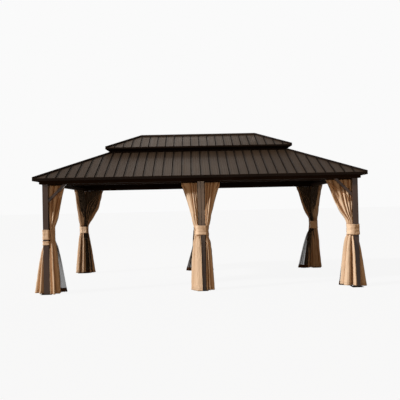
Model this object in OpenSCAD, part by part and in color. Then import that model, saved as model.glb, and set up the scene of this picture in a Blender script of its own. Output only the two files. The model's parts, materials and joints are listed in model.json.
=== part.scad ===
// Two-tier hardtop gazebo: six posts, a ring of beams, a hipped standing-seam roof in two tiers,
// and tied-back curtains and nets at every post. Origin on the ground at the centre, front is -Y.

/* [Roof] */
// Length of the lower roof along its eaves
roof_length = 6000; // [5000:10:7200]
// Width of the lower roof along its eaves
roof_width = 3600; // [3200:10:4200]
// Slope of all roof sheets in degrees
roof_pitch = 24.5; // [18:0.5:28]
// Width of the upper roof along its eaves
upper_width = 1332; // [1100:10:1600]
// Height of the upper sheets above the plane of the lower sheets
upper_step = 137; // [120:1:180]
// Upright thickness of a roof sheet
sheet_depth = 3; // [2:0.5:6]
// Distance between the standing seams of the lower sheets
seam_pitch = 172; // [120:1:300]
// Distance between the standing seams of the upper sheets
upper_seam_pitch = 168; // [120:1:300]
// Width of a standing seam
seam_width = 12; // [8:1:20]
// Height of a standing seam above its sheet
seam_height = 18; // [8:1:30]
// Width of the caps along the hips
hip_cap_width = 70; // [40:1:110]
// Width of the cap along the ridge
ridge_cap_width = 110; // [80:1:160]
// Height of the hip and ridge caps above the sheets
cap_height = 24; // [12:1:40]

/* [Eaves] */
// Height of the lower fascia
fascia_height = 45; // [30:1:70]
// Thickness of the lower and upper fascia
fascia_width = 25; // [15:1:40]
// Height of the fascia on the upper eave
upper_fascia_height = 28; // [20:1:45]
// Upright thickness of the sloping soffit under the upper eave
soffit_depth = 8; // [4:1:15]
// Height of the soffit's inner edge above the lower sheets
vent_gap = 24; // [20:1:40]

/* [Frame] */
// Height of the posts, up to the underside of the beams
headroom = 1980; // [1900:5:2400]
// Width of a corner post, and depth of all posts
post_width = 100; // [80:1:140]
// Width of a middle post along the long side
middle_post_width = 120; // [90:1:160]
// Width of the joint groove in the faces of a middle post
groove_width = 6; // [3:0.5:12]
// Depth of the joint groove in the faces of a middle post
groove_depth = 3; // [1:0.5:6]
// Distance from the eave to the outer face of the posts
post_inset = 142; // [110:1:200]
// Height of the beams
beam_height = 130; // [90:1:160]
// How far the beams stand out past the posts
beam_overhang = 45; // [20:1:60]
// Height of a knee brace along its post, and its reach along the beam
brace_leg = 300; // [200:5:450]
// Width and thickness of a knee brace
brace_width = 45; // [30:1:60]
// Width of the double curtain rail
rail_width = 60; // [50:1:90]
// Height of the curtain rail
rail_height = 60; // [45:1:90]
// How far the rail hangs below the beams
rail_drop = 20; // [15:1:40]
// Width of the rafters
rafter_width = 50; // [30:1:80]
// Upright depth of the rafters
rafter_depth = 66; // [60:1:100]
// Height of a rafter above the outer edge of its beam
rafter_heel = 15; // [8:1:25]
// Distance between the common rafters of the long slopes
rafter_spacing = 1150; // [900:10:1400]
// Plan distance from the upper eave to the collar that carries the upper roof
collar_inset = 90; // [70:1:130]
// Thickness of the collar boards
collar_width = 40; // [25:1:60]
// Thickness of the ridge beam
ridge_beam_width = 40; // [30:1:70]
// Depth of the ridge beam
ridge_beam_depth = 70; // [50:1:110]

/* [Feet] */
// Width of a square base plate
plate_width = 200; // [180:1:260]
// Thickness of a base plate
plate_thickness = 6; // [4:1:12]
// Distance between the bolt holes of a base plate
bolt_spacing = 150; // [150:1:160]
// Diameter of a bolt hole
bolt_hole = 12; // [8:0.5:16]

/* [Curtains] */
// Reach of the gathered curtain along the rail at the front left post
front_left_reach = 280; // [200:5:600]
// Reach of the gathered curtain along the rail at the front right post
front_right_reach = 460; // [200:5:600]
// Reach of the gathered curtain along the rail at the back left post
back_left_reach = 490; // [200:5:600]
// Reach of the gathered curtain along the rail at the back right post
back_right_reach = 410; // [200:5:600]
// Reach of the gathered curtains along the rail at the middle posts
middle_reach = 280; // [200:5:600]
// Reach of the gathered curtains along the short rails
end_reach = 870; // [300:5:1000]
// Height of the middle of the tiebacks
tie_height = 1060; // [900:5:1300]
// Height of a tieback band
tie_band = 170; // [80:5:240]
// Thickness of a tieback band
tie_thickness = 4; // [2:0.5:8]
// Width of a corner curtain where its tieback holds it
waist_reach = 90; // [65:1:100]
// Width of a middle curtain where its tieback holds it
middle_waist_reach = 52; // [45:1:80]
// Depth of a curtain where its tieback holds it
waist_depth = 65; // [50:1:90]
// Depth of a net where its tieback holds it
net_waist_depth = 30; // [20:1:32]
// Reach of a corner curtain at its hem
hem_reach = 230; // [150:5:300]
// Reach of a middle curtain at its hem
middle_hem_reach = 155; // [120:5:250]
// Depth of a curtain at its hem
hem_depth = 150; // [100:5:220]
// How far a front corner curtain flares past the outer face of its post
hem_flare = 175; // [80:5:200]
// How far a back corner curtain flares past the outer face of its post
back_hem_flare = 60; // [20:5:200]
// Reach of a corner net at its hem
net_hem_reach = 285; // [200:5:350]
// Reach of the net at its hem at the back right post
back_right_net_hem_reach = 385; // [200:5:450]
// Reach of a middle net at its hem
middle_net_hem_reach = 245; // [120:5:285]
// Depth of a net at its hem
net_hem_depth = 140; // [80:5:180]
// Height of the hems above the ground
hem_height = 22; // [15:1:60]
// Space between gathered cloth and its neighbours
cloth_gap = 4; // [2:0.5:6]
// Space between cloth and the rail or post that it hangs on
cloth_seat = 0.3; // [0.2:0.1:0.8]

/* [Hidden] */
$fn = 48;

roof_color = [0.31, 0.27, 0.25];
trim_color = [0.12, 0.09, 0.07];
frame_color = [0.24, 0.19, 0.16];
curtain_color = [0.84, 0.69, 0.54];
net_color = [0.26, 0.22, 0.19];

// Directions of the four sides, as turns of the front
front = 0;
back = 180;
left = -90;
right = 90;

slope = tan(roof_pitch);
beam_top = headroom + beam_height;
beam_setback = post_inset - beam_overhang;
// Height of the lower sheets at the eave, so that the rafters seat on the beams
eave_z = beam_top + rafter_heel + sheet_depth - beam_setback * slope;
// Plan distance from the lower eave to the upper eave, the same on all sides so that the hips line up
upper_setback = (roof_width - upper_width) / 2;
upper_eave_z = eave_z + upper_setback * slope + upper_step;
upper_length = roof_length - 2 * upper_setback;
ridge_length = upper_length - upper_width;
collar_setback = upper_setback + collar_inset;
collar_length = roof_length - 2 * collar_setback;
collar_breadth = roof_width - 2 * collar_setback;
collar_bottom = eave_z + collar_setback * slope - sheet_depth - rafter_depth;
// Clear span between the inner faces of the posts
inner_length = roof_length - 2 * (post_inset + post_width);
inner_width = roof_width - 2 * (post_inset + post_width);
inner_x = inner_length / 2;
inner_y = inner_width / 2;
rail_bottom = headroom - rail_drop;
cloth_top = rail_bottom - cloth_seat;
tie_top = tie_height + tie_band / 2;
tie_bottom = tie_height - tie_band / 2;

// A roof is its length, its width and the height of its sheets at the eave
lower = [roof_length, roof_width, eave_z];
upper = [upper_length, upper_width, upper_eave_z];
// Height past the ridge, and plan margin past the eaves, for cutting shapes
tall = upper_eave_z + roof_width;
margin = 2 * post_inset;

// Length and width of a roof as seen from one of its sides
function along(roof, side) = (side == front || side == back) ? roof[0] : roof[1];
function across(roof, side) = (side == front || side == back) ? roof[1] : roof[0];

// Everything under the roof's planes, which are moved up by lift
module under(roof, lift) {
    length = roof[0] + 2 * margin;
    run = roof[1] / 2 + margin;
    low = roof[2] + lift - margin * slope;
    top = low + run * slope;
    intersection() {
        rotate([90, 0, 90])
            linear_extrude(length, center = true)
                polygon([[-run, 0], [run, 0], [run, low], [0, top], [-run, low]]);
        rotate([90, 0, 0])
            linear_extrude(2 * run, center = true)
                polygon([
                    [-length / 2, 0], [length / 2, 0], [length / 2, low],
                    [length / 2 - run, top], [run - length / 2, top], [-length / 2, low]
                ]);
    }
}

// The layer between two heights above the roof's planes
module layer(roof, low, high) {
    difference() {
        under(roof, high);
        under(roof, low);
    }
}

// Upright prism over one side of a roof, between two setbacks from its eave and clear of the hips by side_gap
module side_plan(roof, side, from, to, side_gap = 0) {
    half_along = along(roof, side) / 2 - side_gap;
    half_across = across(roof, side) / 2;
    rotate(side)
        linear_extrude(tall)
            polygon([
                [from - half_along, from - half_across], [half_along - from, from - half_across],
                [half_along - to, to - half_across], [to - half_along, to - half_across]
            ]);
}

// Upright box around the centre
module centre_box(length, width, low, high) {
    translate([-length / 2, -width / 2, low])
        cube([length, width, high - low]);
}

// Copies for the four corners
module corners() {
    for (sx = [-1, 1], sy = [-1, 1])
        scale([sx, sy, 1])
            children();
}

// One sheet of a roof up to a setback, with its standing seams
module roof_sheet(roof, side, pitch, reach, seam_reach) {
    hip_gap = hip_cap_width / sqrt(2);
    last = floor((along(roof, side) / 2 - 2 * hip_gap - seam_width) / pitch);
    color(roof_color)
    union() {
        intersection() {
            layer(roof, -sheet_depth, 0);
            side_plan(roof, side, 0, reach);
        }
        intersection() {
            layer(roof, -sheet_depth / 2, seam_height);
            side_plan(roof, side, 0, seam_reach, hip_gap);
            rotate(side)
                for (i = [-last : last])
                    translate([i * pitch - seam_width / 2, -across(roof, side) / 2, 0])
                        cube([seam_width, seam_reach, tall]);
        }
    }
}

// Four bars along the hips, between two heights above the planes
module hip_bars(roof, width, low, high, setback, inner_box) {
    intersection() {
        layer(roof, low, high);
        difference() {
            corners()
                translate([roof[0] / 2, roof[1] / 2, 0])
                    rotate(225)
                        translate([-width, -width / 2, 0])
                            cube([roof[1] * sqrt(0.5) + width, width, tall]);
            centre_box(inner_box[0], inner_box[1], 0, tall);
        }
        centre_box(roof[0] - 2 * setback, roof[1] - 2 * setback, 0, tall);
    }
}

// Space taken by the ring of beams, in which the rafters are cut to seat
module beam_seat() {
    difference() {
        centre_box(roof_length, roof_width, 0, beam_top);
        centre_box(inner_length, inner_width, -1, tall);
    }
}

// Strip along one eave with an upright section of setback and height, mitred at the corners
module eave_strip(roof, side, section, depth) {
    color(trim_color)
    intersection() {
        rotate(side)
            rotate([90, 0, 90])
                linear_extrude(along(roof, side) + 2, center = true)
                    translate([-across(roof, side) / 2, 0])
                        polygon(section);
        side_plan(roof, side, 0, depth);
    }
}

// Posts and feet
module post_at(x, y, width) {
    color(frame_color)
    translate([x - width / 2, y - post_width / 2, plate_thickness])
        cube([width, post_width, headroom - plate_thickness]);
}

post_x = inner_x + post_width / 2;
post_y = inner_y + post_width / 2;

// Post of two halves, with the groove of their joint in its outer and inner faces
module middle_post_at(y) {
    difference() {
        post_at(0, y, middle_post_width);
        for (sy = [-1, 1])
            translate([0, y + sy * post_width / 2, 0])
                centre_box(groove_width, 2 * groove_depth, 0, headroom + 1);
    }
}

module front_left_post() post_at(-post_x, -post_y, post_width);
module front_middle_post() middle_post_at(-post_y);
module front_right_post() post_at(post_x, -post_y, post_width);
module back_left_post() post_at(-post_x, post_y, post_width);
module back_middle_post() middle_post_at(post_y);
module back_right_post() post_at(post_x, post_y, post_width);

module base_plate() {
    difference() {
        centre_box(plate_width, plate_width, 0, plate_thickness);
        for (sx = [-1, 1], sy = [-1, 1])
            translate([sx * bolt_spacing / 2, sy * bolt_spacing / 2, -1])
                cylinder(h = plate_thickness + 2, d = bolt_hole);
    }
}

module base_plates() {
    color(frame_color)
    for (x = [-post_x, 0, post_x], y = [-post_y, post_y])
        translate([x, y, 0])
            base_plate();
}

// Beams, braces and rails
beam_width = post_width + beam_overhang;
beam_end = roof_length / 2 - beam_setback;

module long_beam(sx, sy) {
    color(frame_color)
    scale([sx, sy, 1])
        translate([0, inner_y, headroom])
            cube([beam_end, beam_width, beam_height]);
}

module front_left_beam() long_beam(-1, -1);
module front_right_beam() long_beam(1, -1);
module back_left_beam() long_beam(-1, 1);
module back_right_beam() long_beam(1, 1);

module short_beam(sx) {
    color(frame_color)
    scale([sx, 1, 1])
        translate([inner_x, -inner_y, headroom])
            cube([beam_width, inner_width, beam_height]);
}

module left_beam() short_beam(-1);
module right_beam() short_beam(1);

// Brace that runs from a post's face at x = 0 down along -Z to the beam along -X
module knee_brace() {
    half = brace_width / sqrt(2);
    rotate([90, 0, 0])
        linear_extrude(brace_width, center = true)
            polygon([
                [0, half - brace_leg], [0, -half - brace_leg],
                [-half - brace_leg, 0], [half - brace_leg, 0]
            ]);
}

module knee_braces() {
    color(frame_color)
    corners() {
        translate([inner_x, post_y, headroom])
            knee_brace();
        translate([post_x, inner_y, headroom])
            rotate(90)
                knee_brace();
    }
}

module long_curtain_rails() {
    color(frame_color)
    for (sy = [-1, 1])
        scale([1, sy, 1])
            translate([-inner_x, inner_y - rail_width, rail_bottom])
                cube([inner_length, rail_width, rail_height]);
}

module short_curtain_rails() {
    color(frame_color)
    for (sx = [-1, 1])
        scale([sx, 1, 1])
            translate([inner_x - rail_width, rail_width - inner_y, rail_bottom])
                cube([rail_width, inner_width - 2 * rail_width, rail_height]);
}

// Lower roof
fascia_section = [
    [0, eave_z - sheet_depth - fascia_height], [fascia_width, eave_z - sheet_depth - fascia_height],
    [fascia_width, eave_z - sheet_depth + fascia_width * slope], [0, eave_z - sheet_depth]
];

module long_fascias() {
    eave_strip(lower, front, fascia_section, fascia_width);
    eave_strip(lower, back, fascia_section, fascia_width);
}

module short_fascias() {
    eave_strip(lower, left, fascia_section, fascia_width);
    eave_strip(lower, right, fascia_section, fascia_width);
}

module front_roof() roof_sheet(lower, front, seam_pitch, collar_setback, collar_setback);
module back_roof() roof_sheet(lower, back, seam_pitch, collar_setback, collar_setback);
module left_roof() roof_sheet(lower, left, seam_pitch, collar_setback, collar_setback);
module right_roof() roof_sheet(lower, right, seam_pitch, collar_setback, collar_setback);

collar_box = [collar_length, collar_breadth];

module hip_rafters() {
    color(frame_color)
    difference() {
        hip_bars(lower, rafter_width, -sheet_depth - rafter_depth, -sheet_depth, beam_setback, collar_box);
        beam_seat();
    }
}

module common_rafters() {
    color(frame_color)
    difference() {
        intersection() {
            layer(lower, -sheet_depth - rafter_depth, -sheet_depth);
            difference() {
                union() {
                    for (x = [-rafter_spacing, 0, rafter_spacing])
                        translate([x, 0, 0])
                            centre_box(rafter_width, roof_width - 2 * beam_setback, 0, tall);
                    centre_box(roof_length - 2 * beam_setback, rafter_width, 0, tall);
                }
                centre_box(collar_length, collar_breadth, -1, tall + 1);
            }
        }
        beam_seat();
    }
}

// Collar between the two roofs
module long_collar_boards() {
    color(trim_color)
    intersection() {
        under(upper, -sheet_depth);
        for (sy = [-1, 1])
            scale([1, sy, 1])
                translate([-collar_length / 2, collar_breadth / 2 - collar_width, collar_bottom])
                    cube([collar_length, collar_width, tall]);
    }
}

module short_collar_boards() {
    color(trim_color)
    intersection() {
        under(upper, -sheet_depth);
        for (sx = [-1, 1])
            scale([sx, 1, 1])
                translate([collar_length / 2 - collar_width, collar_width - collar_breadth / 2, collar_bottom])
                    cube([collar_width, collar_breadth - 2 * collar_width, tall]);
    }
}

// Upper fascia and its soffit, which slopes down to the collar
upper_fascia_top = upper_eave_z - sheet_depth;
upper_fascia_bottom = upper_fascia_top - upper_fascia_height;
soffit_bottom = eave_z + collar_setback * slope + vent_gap;
upper_trim_section = [
    [0, upper_fascia_bottom], [collar_inset, soffit_bottom], [collar_inset, soffit_bottom + soffit_depth],
    [fascia_width, upper_fascia_bottom + soffit_depth],
    [fascia_width, upper_fascia_top + fascia_width * slope], [0, upper_fascia_top]
];

module long_upper_trim() {
    eave_strip(upper, front, upper_trim_section, collar_inset);
    eave_strip(upper, back, upper_trim_section, collar_inset);
}

module short_upper_trim() {
    eave_strip(upper, left, upper_trim_section, collar_inset);
    eave_strip(upper, right, upper_trim_section, collar_inset);
}

// Upper roof, whose seams stop at the ridge cap
upper_seam_reach = (upper_width - ridge_cap_width) / 2;

module upper_front_roof() roof_sheet(upper, front, upper_seam_pitch, upper_width / 2, upper_seam_reach);
module upper_back_roof() roof_sheet(upper, back, upper_seam_pitch, upper_width / 2, upper_seam_reach);
module upper_left_roof() roof_sheet(upper, left, upper_seam_pitch, upper_width / 2, upper_seam_reach);
module upper_right_roof() roof_sheet(upper, right, upper_seam_pitch, upper_width / 2, upper_seam_reach);

ridge_beam_length = ridge_length + 2 * rafter_width;
ridge_cap_length = ridge_length + 2 * hip_cap_width;

module upper_rafters() {
    inner_setback = collar_inset + collar_width;
    ridge_box = [ridge_beam_length, ridge_beam_width];
    color(frame_color) {
        hip_bars(upper, rafter_width, -sheet_depth - rafter_depth, -sheet_depth, inner_setback, ridge_box);
        intersection() {
            layer(upper, -sheet_depth - rafter_depth, -sheet_depth);
            difference() {
                centre_box(rafter_width, upper_width - 2 * inner_setback, 0, tall);
                centre_box(ridge_beam_length, ridge_beam_width, -1, tall + 1);
            }
        }
    }
}

module ridge_beam() {
    ridge_z = upper_eave_z + upper_width / 2 * slope - sheet_depth;
    color(frame_color)
    intersection() {
        under(upper, -sheet_depth);
        centre_box(ridge_beam_length, ridge_beam_width, ridge_z - ridge_beam_depth, tall);
    }
}

module ridge_cap() {
    color(roof_color)
    intersection() {
        layer(upper, 0, cap_height);
        centre_box(ridge_cap_length, ridge_cap_width, 0, tall);
    }
}

module hip_caps() {
    color(trim_color) {
        hip_bars(lower, hip_cap_width, 0, cap_height, 0, collar_box);
        hip_bars(upper, hip_cap_width, 0, cap_height, 0, [ridge_cap_length, ridge_cap_width]);
    }
}

// Hanging cloth: a solid through four upright stages, each a span in x and a span in y
function stage_points(spans, z) = [
    [spans[0][0], spans[1][0], z], [spans[0][1], spans[1][0], z],
    [spans[0][1], spans[1][1], z], [spans[0][0], spans[1][1], z]
];

module drape(top, waist, hem) {
    points = concat(
        stage_points(hem, hem_height), stage_points(waist, tie_bottom),
        stage_points(waist, tie_top), stage_points(top, cloth_top)
    );
    walls = [
        for (s = [0 : 2], i = [0 : 3])
            [4 * s + i, 4 * s + 4 + i, 4 * s + 4 + (i + 1) % 4, 4 * s + (i + 1) % 4]
    ];
    polyhedron(points, concat([[0, 1, 2, 3]], walls, [[15, 14, 13, 12]]));
}

// Spans across the rail: the outer track holds the curtain and the inner track holds the net
outer_track = [inner_y - rail_width / 2 + cloth_gap, inner_y - cloth_gap];
inner_track = [inner_y - rail_width + cloth_gap, inner_y - rail_width / 2 - cloth_gap];
curtain_waist = [inner_y + cloth_gap, inner_y + cloth_gap + waist_depth];
curtain_hem = [inner_y + cloth_gap, inner_y + cloth_gap + hem_depth];
net_waist = [inner_y - cloth_gap - net_waist_depth, inner_y - cloth_gap];
net_hem = [inner_y - cloth_gap - net_hem_depth, inner_y - cloth_gap];
corner_side = inner_x - cloth_gap;
middle_side = middle_post_width / 2 + cloth_gap;

// Curtains of a corner: one on the long rail and one on the short rail
module corner_curtains(reach, flare) {
    color(curtain_color) {
        drape(
            [[inner_x - reach, corner_side], outer_track],
            [[corner_side - waist_reach, corner_side], curtain_waist],
            [[corner_side - hem_reach, corner_side], curtain_hem]
        );
        drape(
            [
                [inner_x - rail_width / 2 + cloth_gap, inner_x - cloth_gap],
                [inner_y - end_reach, inner_y - rail_width - cloth_gap]
            ],
            [
                [inner_x + cloth_gap, inner_x + cloth_gap + waist_depth],
                [inner_y - cloth_gap - waist_reach, inner_y - cloth_gap]
            ],
            [
                [inner_x + cloth_gap, inner_x + post_width + flare],
                [inner_y - cloth_gap - hem_reach, inner_y - cloth_gap]
            ]
        );
    }
}

// Nets of a corner, inside its curtains
module corner_nets(reach, hem) {
    end_waist_y = net_waist[0] - 2 * cloth_gap;
    end_hem_y = net_hem[0] - 2 * cloth_gap;
    color(net_color) {
        drape(
            [[inner_x - reach, inner_x - rail_width - cloth_gap], inner_track],
            [[corner_side - waist_reach, corner_side], net_waist],
            [[corner_side - hem, corner_side], net_hem]
        );
        drape(
            [
                [inner_x - rail_width + cloth_gap, inner_x - rail_width / 2 - cloth_gap],
                [inner_y - end_reach, inner_y - rail_width - cloth_gap]
            ],
            [[corner_side - waist_reach, corner_side], [end_waist_y - net_waist_depth, end_waist_y]],
            [[corner_side - net_hem_depth, corner_side], [end_hem_y - net_hem_depth, end_hem_y]]
        );
    }
}

module middle_curtains() {
    color(curtain_color)
    for (sx = [-1, 1])
        scale([sx, 1, 1])
            drape(
                [[middle_side, middle_side + middle_reach], outer_track],
                [[middle_side, middle_side + middle_waist_reach], curtain_waist],
                [[middle_side, middle_side + middle_hem_reach], curtain_hem]
            );
}

module middle_nets() {
    color(net_color)
    for (sx = [-1, 1])
        scale([sx, 1, 1])
            drape(
                [[middle_side, middle_side + middle_reach], inner_track],
                [[middle_side, middle_side + middle_waist_reach], net_waist],
                [[middle_side, middle_side + middle_net_hem_reach], net_hem]
            );
}

module front_left_curtains() scale([-1, -1, 1]) corner_curtains(front_left_reach, hem_flare);
module front_middle_curtains() scale([1, -1, 1]) middle_curtains();
module front_right_curtains() scale([1, -1, 1]) corner_curtains(front_right_reach, hem_flare);
module back_left_curtains() scale([-1, 1, 1]) corner_curtains(back_left_reach, back_hem_flare);
module back_middle_curtains() middle_curtains();
module back_right_curtains() corner_curtains(back_right_reach, back_hem_flare);

module front_nets() {
    scale([-1, -1, 1])
        corner_nets(front_left_reach, net_hem_reach);
    scale([1, -1, 1]) {
        middle_nets();
        corner_nets(front_right_reach, net_hem_reach);
    }
}

module back_nets() {
    scale([-1, 1, 1])
        corner_nets(back_left_reach, net_hem_reach);
    middle_nets();
    corner_nets(back_right_reach, back_right_net_hem_reach);
}

// Band around a span in x and a span in y
module band(x_span, y_span) {
    wall = cloth_seat + tie_thickness;
    difference() {
        translate([x_span[0] - wall, y_span[0] - wall, tie_bottom])
            cube([x_span[1] - x_span[0] + 2 * wall, y_span[1] - y_span[0] + 2 * wall, tie_band]);
        translate([x_span[0] - cloth_seat, y_span[0] - cloth_seat, tie_bottom - 1])
            cube([
                x_span[1] - x_span[0] + 2 * cloth_seat,
                y_span[1] - y_span[0] + 2 * cloth_seat,
                tie_band + 2
            ]);
    }
}

module tiebacks() {
    end_reach_y = cloth_gap + max(waist_reach, 2 * net_waist_depth + 2 * cloth_gap);
    middle_half = middle_side + middle_waist_reach;
    color(curtain_color) {
        corners()
            band(
                [corner_side - waist_reach, inner_x + post_width],
                [inner_y - end_reach_y, inner_y + post_width]
            );
        for (sy = [-1, 1])
            scale([1, sy, 1])
                band([-middle_half, middle_half], [net_waist[0], inner_y + post_width]);
    }
}

front_left_post();
front_middle_post();
front_right_post();
back_left_post();
back_middle_post();
back_right_post();
base_plates();
front_left_beam();
front_right_beam();
back_left_beam();
back_right_beam();
left_beam();
right_beam();
knee_braces();
long_curtain_rails();
short_curtain_rails();
long_fascias();
short_fascias();
front_roof();
back_roof();
left_roof();
right_roof();
hip_rafters();
common_rafters();
long_collar_boards();
short_collar_boards();
long_upper_trim();
short_upper_trim();
upper_front_roof();
upper_back_roof();
upper_left_roof();
upper_right_roof();
upper_rafters();
ridge_beam();
ridge_cap();
hip_caps();
front_left_curtains();
front_middle_curtains();
front_right_curtains();
back_left_curtains();
back_middle_curtains();
back_right_curtains();
front_nets();
back_nets();
tiebacks();
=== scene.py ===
# Looks of the two-tier gazebo: coated metal, gathered curtains and nets, tieback bands
import json
import math

import bpy
import numpy as np
from mathutils import Matrix, Vector


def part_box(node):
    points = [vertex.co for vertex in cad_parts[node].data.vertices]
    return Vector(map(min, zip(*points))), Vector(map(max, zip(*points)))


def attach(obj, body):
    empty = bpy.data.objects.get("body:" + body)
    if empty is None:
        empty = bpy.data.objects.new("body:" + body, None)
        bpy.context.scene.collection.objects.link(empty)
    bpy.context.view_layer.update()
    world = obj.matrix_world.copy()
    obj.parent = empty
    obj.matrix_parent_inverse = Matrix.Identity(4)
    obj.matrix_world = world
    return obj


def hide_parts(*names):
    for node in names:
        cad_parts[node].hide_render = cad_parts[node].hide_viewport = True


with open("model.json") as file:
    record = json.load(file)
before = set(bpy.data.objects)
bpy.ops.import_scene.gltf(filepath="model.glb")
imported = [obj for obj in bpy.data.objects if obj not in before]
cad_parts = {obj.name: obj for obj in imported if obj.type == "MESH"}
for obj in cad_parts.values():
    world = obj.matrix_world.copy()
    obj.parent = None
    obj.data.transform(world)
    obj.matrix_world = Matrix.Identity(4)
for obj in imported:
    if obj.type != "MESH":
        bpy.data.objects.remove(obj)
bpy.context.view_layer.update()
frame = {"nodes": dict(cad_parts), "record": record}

SCENE = bpy.context.scene
NODES = frame["nodes"]

# Places read from the frame, in metres; a corner is worked out at +X +Y and mirrored
POST_LOW, POST_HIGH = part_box("back_right_post")
INNER_X, OUTER_X = POST_LOW.x, POST_HIGH.x
INNER_Y, OUTER_Y = POST_LOW.y, POST_HIGH.y
MIDDLE_LOW, MIDDLE_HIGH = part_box("back_middle_post")
MIDDLE_HALF = MIDDLE_HIGH.x
RAIL_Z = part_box("long_curtain_rails")[0].z
TIE_LOW, TIE_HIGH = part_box("tiebacks")[0].z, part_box("tiebacks")[1].z
PLATE_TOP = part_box("base_plates")[1].z
BRACE_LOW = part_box("knee_braces")[0].z


# Camera at the photograph's viewpoint
FRAME_PIXELS = 400
FOCAL_PIXELS = 540.67
CAMERA_PLACE = Vector((-0.1887, -11.438, 1.4909))
CAMERA_YAW = 0.0173
CAMERA_PITCH = 0.0151
CAMERA_ROLL = -0.0220
FAR_CLIP = 1000


def add_camera():
    forward = Vector((
        math.sin(CAMERA_YAW) * math.cos(CAMERA_PITCH),
        math.cos(CAMERA_YAW) * math.cos(CAMERA_PITCH),
        math.sin(CAMERA_PITCH),
    ))
    level = Vector((math.cos(CAMERA_YAW), -math.sin(CAMERA_YAW), 0))
    upright = level.cross(forward)
    side = level * math.cos(CAMERA_ROLL) + upright * math.sin(CAMERA_ROLL)
    top = upright * math.cos(CAMERA_ROLL) - level * math.sin(CAMERA_ROLL)
    data = bpy.data.cameras.new("camera")
    data.lens = FOCAL_PIXELS / FRAME_PIXELS * data.sensor_width
    data.clip_end = FAR_CLIP
    camera = bpy.data.objects.new("camera", data)
    turn = Matrix((side, top, -forward)).transposed()
    camera.matrix_world = Matrix.Translation(CAMERA_PLACE) @ turn.to_4x4()
    SCENE.collection.objects.link(camera)
    SCENE.camera = camera


# Node graphs
class Graph:
    """Short way to add and link the nodes of one material or world."""

    def __init__(self, tree):
        self.tree = tree

    def feed(self, socket, value):
        if isinstance(value, bpy.types.NodeSocket):
            self.tree.links.new(value, socket)
        else:
            socket.default_value = value

    def node(self, kind, inputs=None, **settings):
        made = self.tree.nodes.new("ShaderNode" + kind)
        for name, value in settings.items():
            setattr(made, name, value)
        for key, value in (inputs or {}).items():
            self.feed(made.inputs[key], value)
        return made

    def noise(self, place, scale, detail=2.0, roughness=0.5):
        inputs = {"Vector": place, "Scale": scale, "Detail": detail, "Roughness": roughness}
        return self.node("TexNoise", inputs).outputs["Fac"]

    def stretched(self, place, scale):
        return self.node("Mapping", {"Vector": place, "Scale": scale}).outputs["Vector"]

    def ramp(self, value, *stops):
        made = self.node("ValToRGB", {"Fac": value})
        elements = made.color_ramp.elements
        elements[0].position, elements[0].color = stops[0][0], (*stops[0][1], 1)
        elements[1].position, elements[1].color = stops[-1][0], (*stops[-1][1], 1)
        for position, colour in stops[1:-1]:
            elements.new(position).color = (*colour, 1)
        return made.outputs["Color"]

    def span(self, value, low, high, from_low=0.0, from_high=1.0):
        inputs = {"Value": value, "From Min": from_low, "From Max": from_high, "To Min": low, "To Max": high}
        return self.node("MapRange", inputs).outputs["Result"]

    def math(self, operation, a, b=0.0):
        return self.node("Math", {0: a, 1: b}, operation=operation).outputs["Value"]

    def blend(self, a, b, share):
        """Sum of a share of one value and the rest of another."""
        return self.math("ADD", self.math("MULTIPLY", a, share), self.math("MULTIPLY", b, 1 - share))

    def mix(self, share, a, b):
        return self.node("Mix", {0: share, 6: a, 7: b}, data_type="RGBA").outputs[2]

    def axis(self, place, name):
        return self.node("SeparateXYZ", {"Vector": place}).outputs[name]

    def bump(self, height, strength, distance, normal=None):
        inputs = {"Height": height, "Strength": strength, "Distance": distance}
        if normal is not None:
            inputs["Normal"] = normal
        return self.node("Bump", inputs).outputs["Normal"]


def new_material(name):
    material = bpy.data.materials.new(name)
    material.use_nodes = True
    graph = Graph(material.node_tree)
    return material, graph, material.node_tree.nodes["Principled BSDF"]


def shade(colour, factor):
    return tuple(channel * factor for channel in colour)


# Light and floor
BACKGROUND = (0.956, 0.956, 0.956)
AMBIENT = (0.10, 0.070, 0.043)
SUN_STRENGTH = 3.6
SUN_SIZE = math.radians(4)
SUN_FROM = Vector((-0.858, -0.312, 0.407))
SUN_DISTANCE = 10
SUN_AIM = (0, 0, 0)
SKY_PANEL_PLACE = Vector((-0.8, 8.0, 10.0))
SKY_PANEL_AIM = (0, 0, 2.4)
SKY_PANEL_SIZE = (4.5, 3.0)
SKY_PANEL_WATTS = 190
SKY_PANEL_TINT = (1.0, 0.88, 0.77)
FRONT_PANEL_PLACE = Vector((0.0, -14.0, 1.65))
FRONT_PANEL_AIM = (0, 0, 1.2)
FRONT_PANEL_SIZE = (8.0, 2.2)
FRONT_PANEL_WATTS = 220
FRONT_PANEL_TINT = (1.0, 0.67, 0.40)
FLOOR_HALF = 300
FLOOR_DROP = 0.001
FLOOR_PATCHES = 0.8
FLOOR_PALE = ((0.90, 0.90, 0.90), (0.93, 0.93, 0.93))
FLOOR_GLOW = 0.95
FLOOR_BOUNCE = (0.26, 0.21, 0.16)


def seen_or_mirrored(graph):
    """1 for rays from the camera and rays that gloss or glass sends on, 0 for rays that light the object."""
    rays = graph.node("LightPath").outputs
    gloss = graph.math("MAXIMUM", rays["Is Glossy Ray"], rays["Is Transmission Ray"])
    return graph.math("MAXIMUM", rays["Is Camera Ray"], gloss)


def add_world():
    world = bpy.data.worlds.new("studio")
    world.use_nodes = True
    graph = Graph(world.node_tree)
    shown = graph.mix(seen_or_mirrored(graph), (*AMBIENT, 1), (*BACKGROUND, 1))
    graph.feed(world.node_tree.nodes["Background"].inputs["Color"], shown)
    SCENE.world = world


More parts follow.
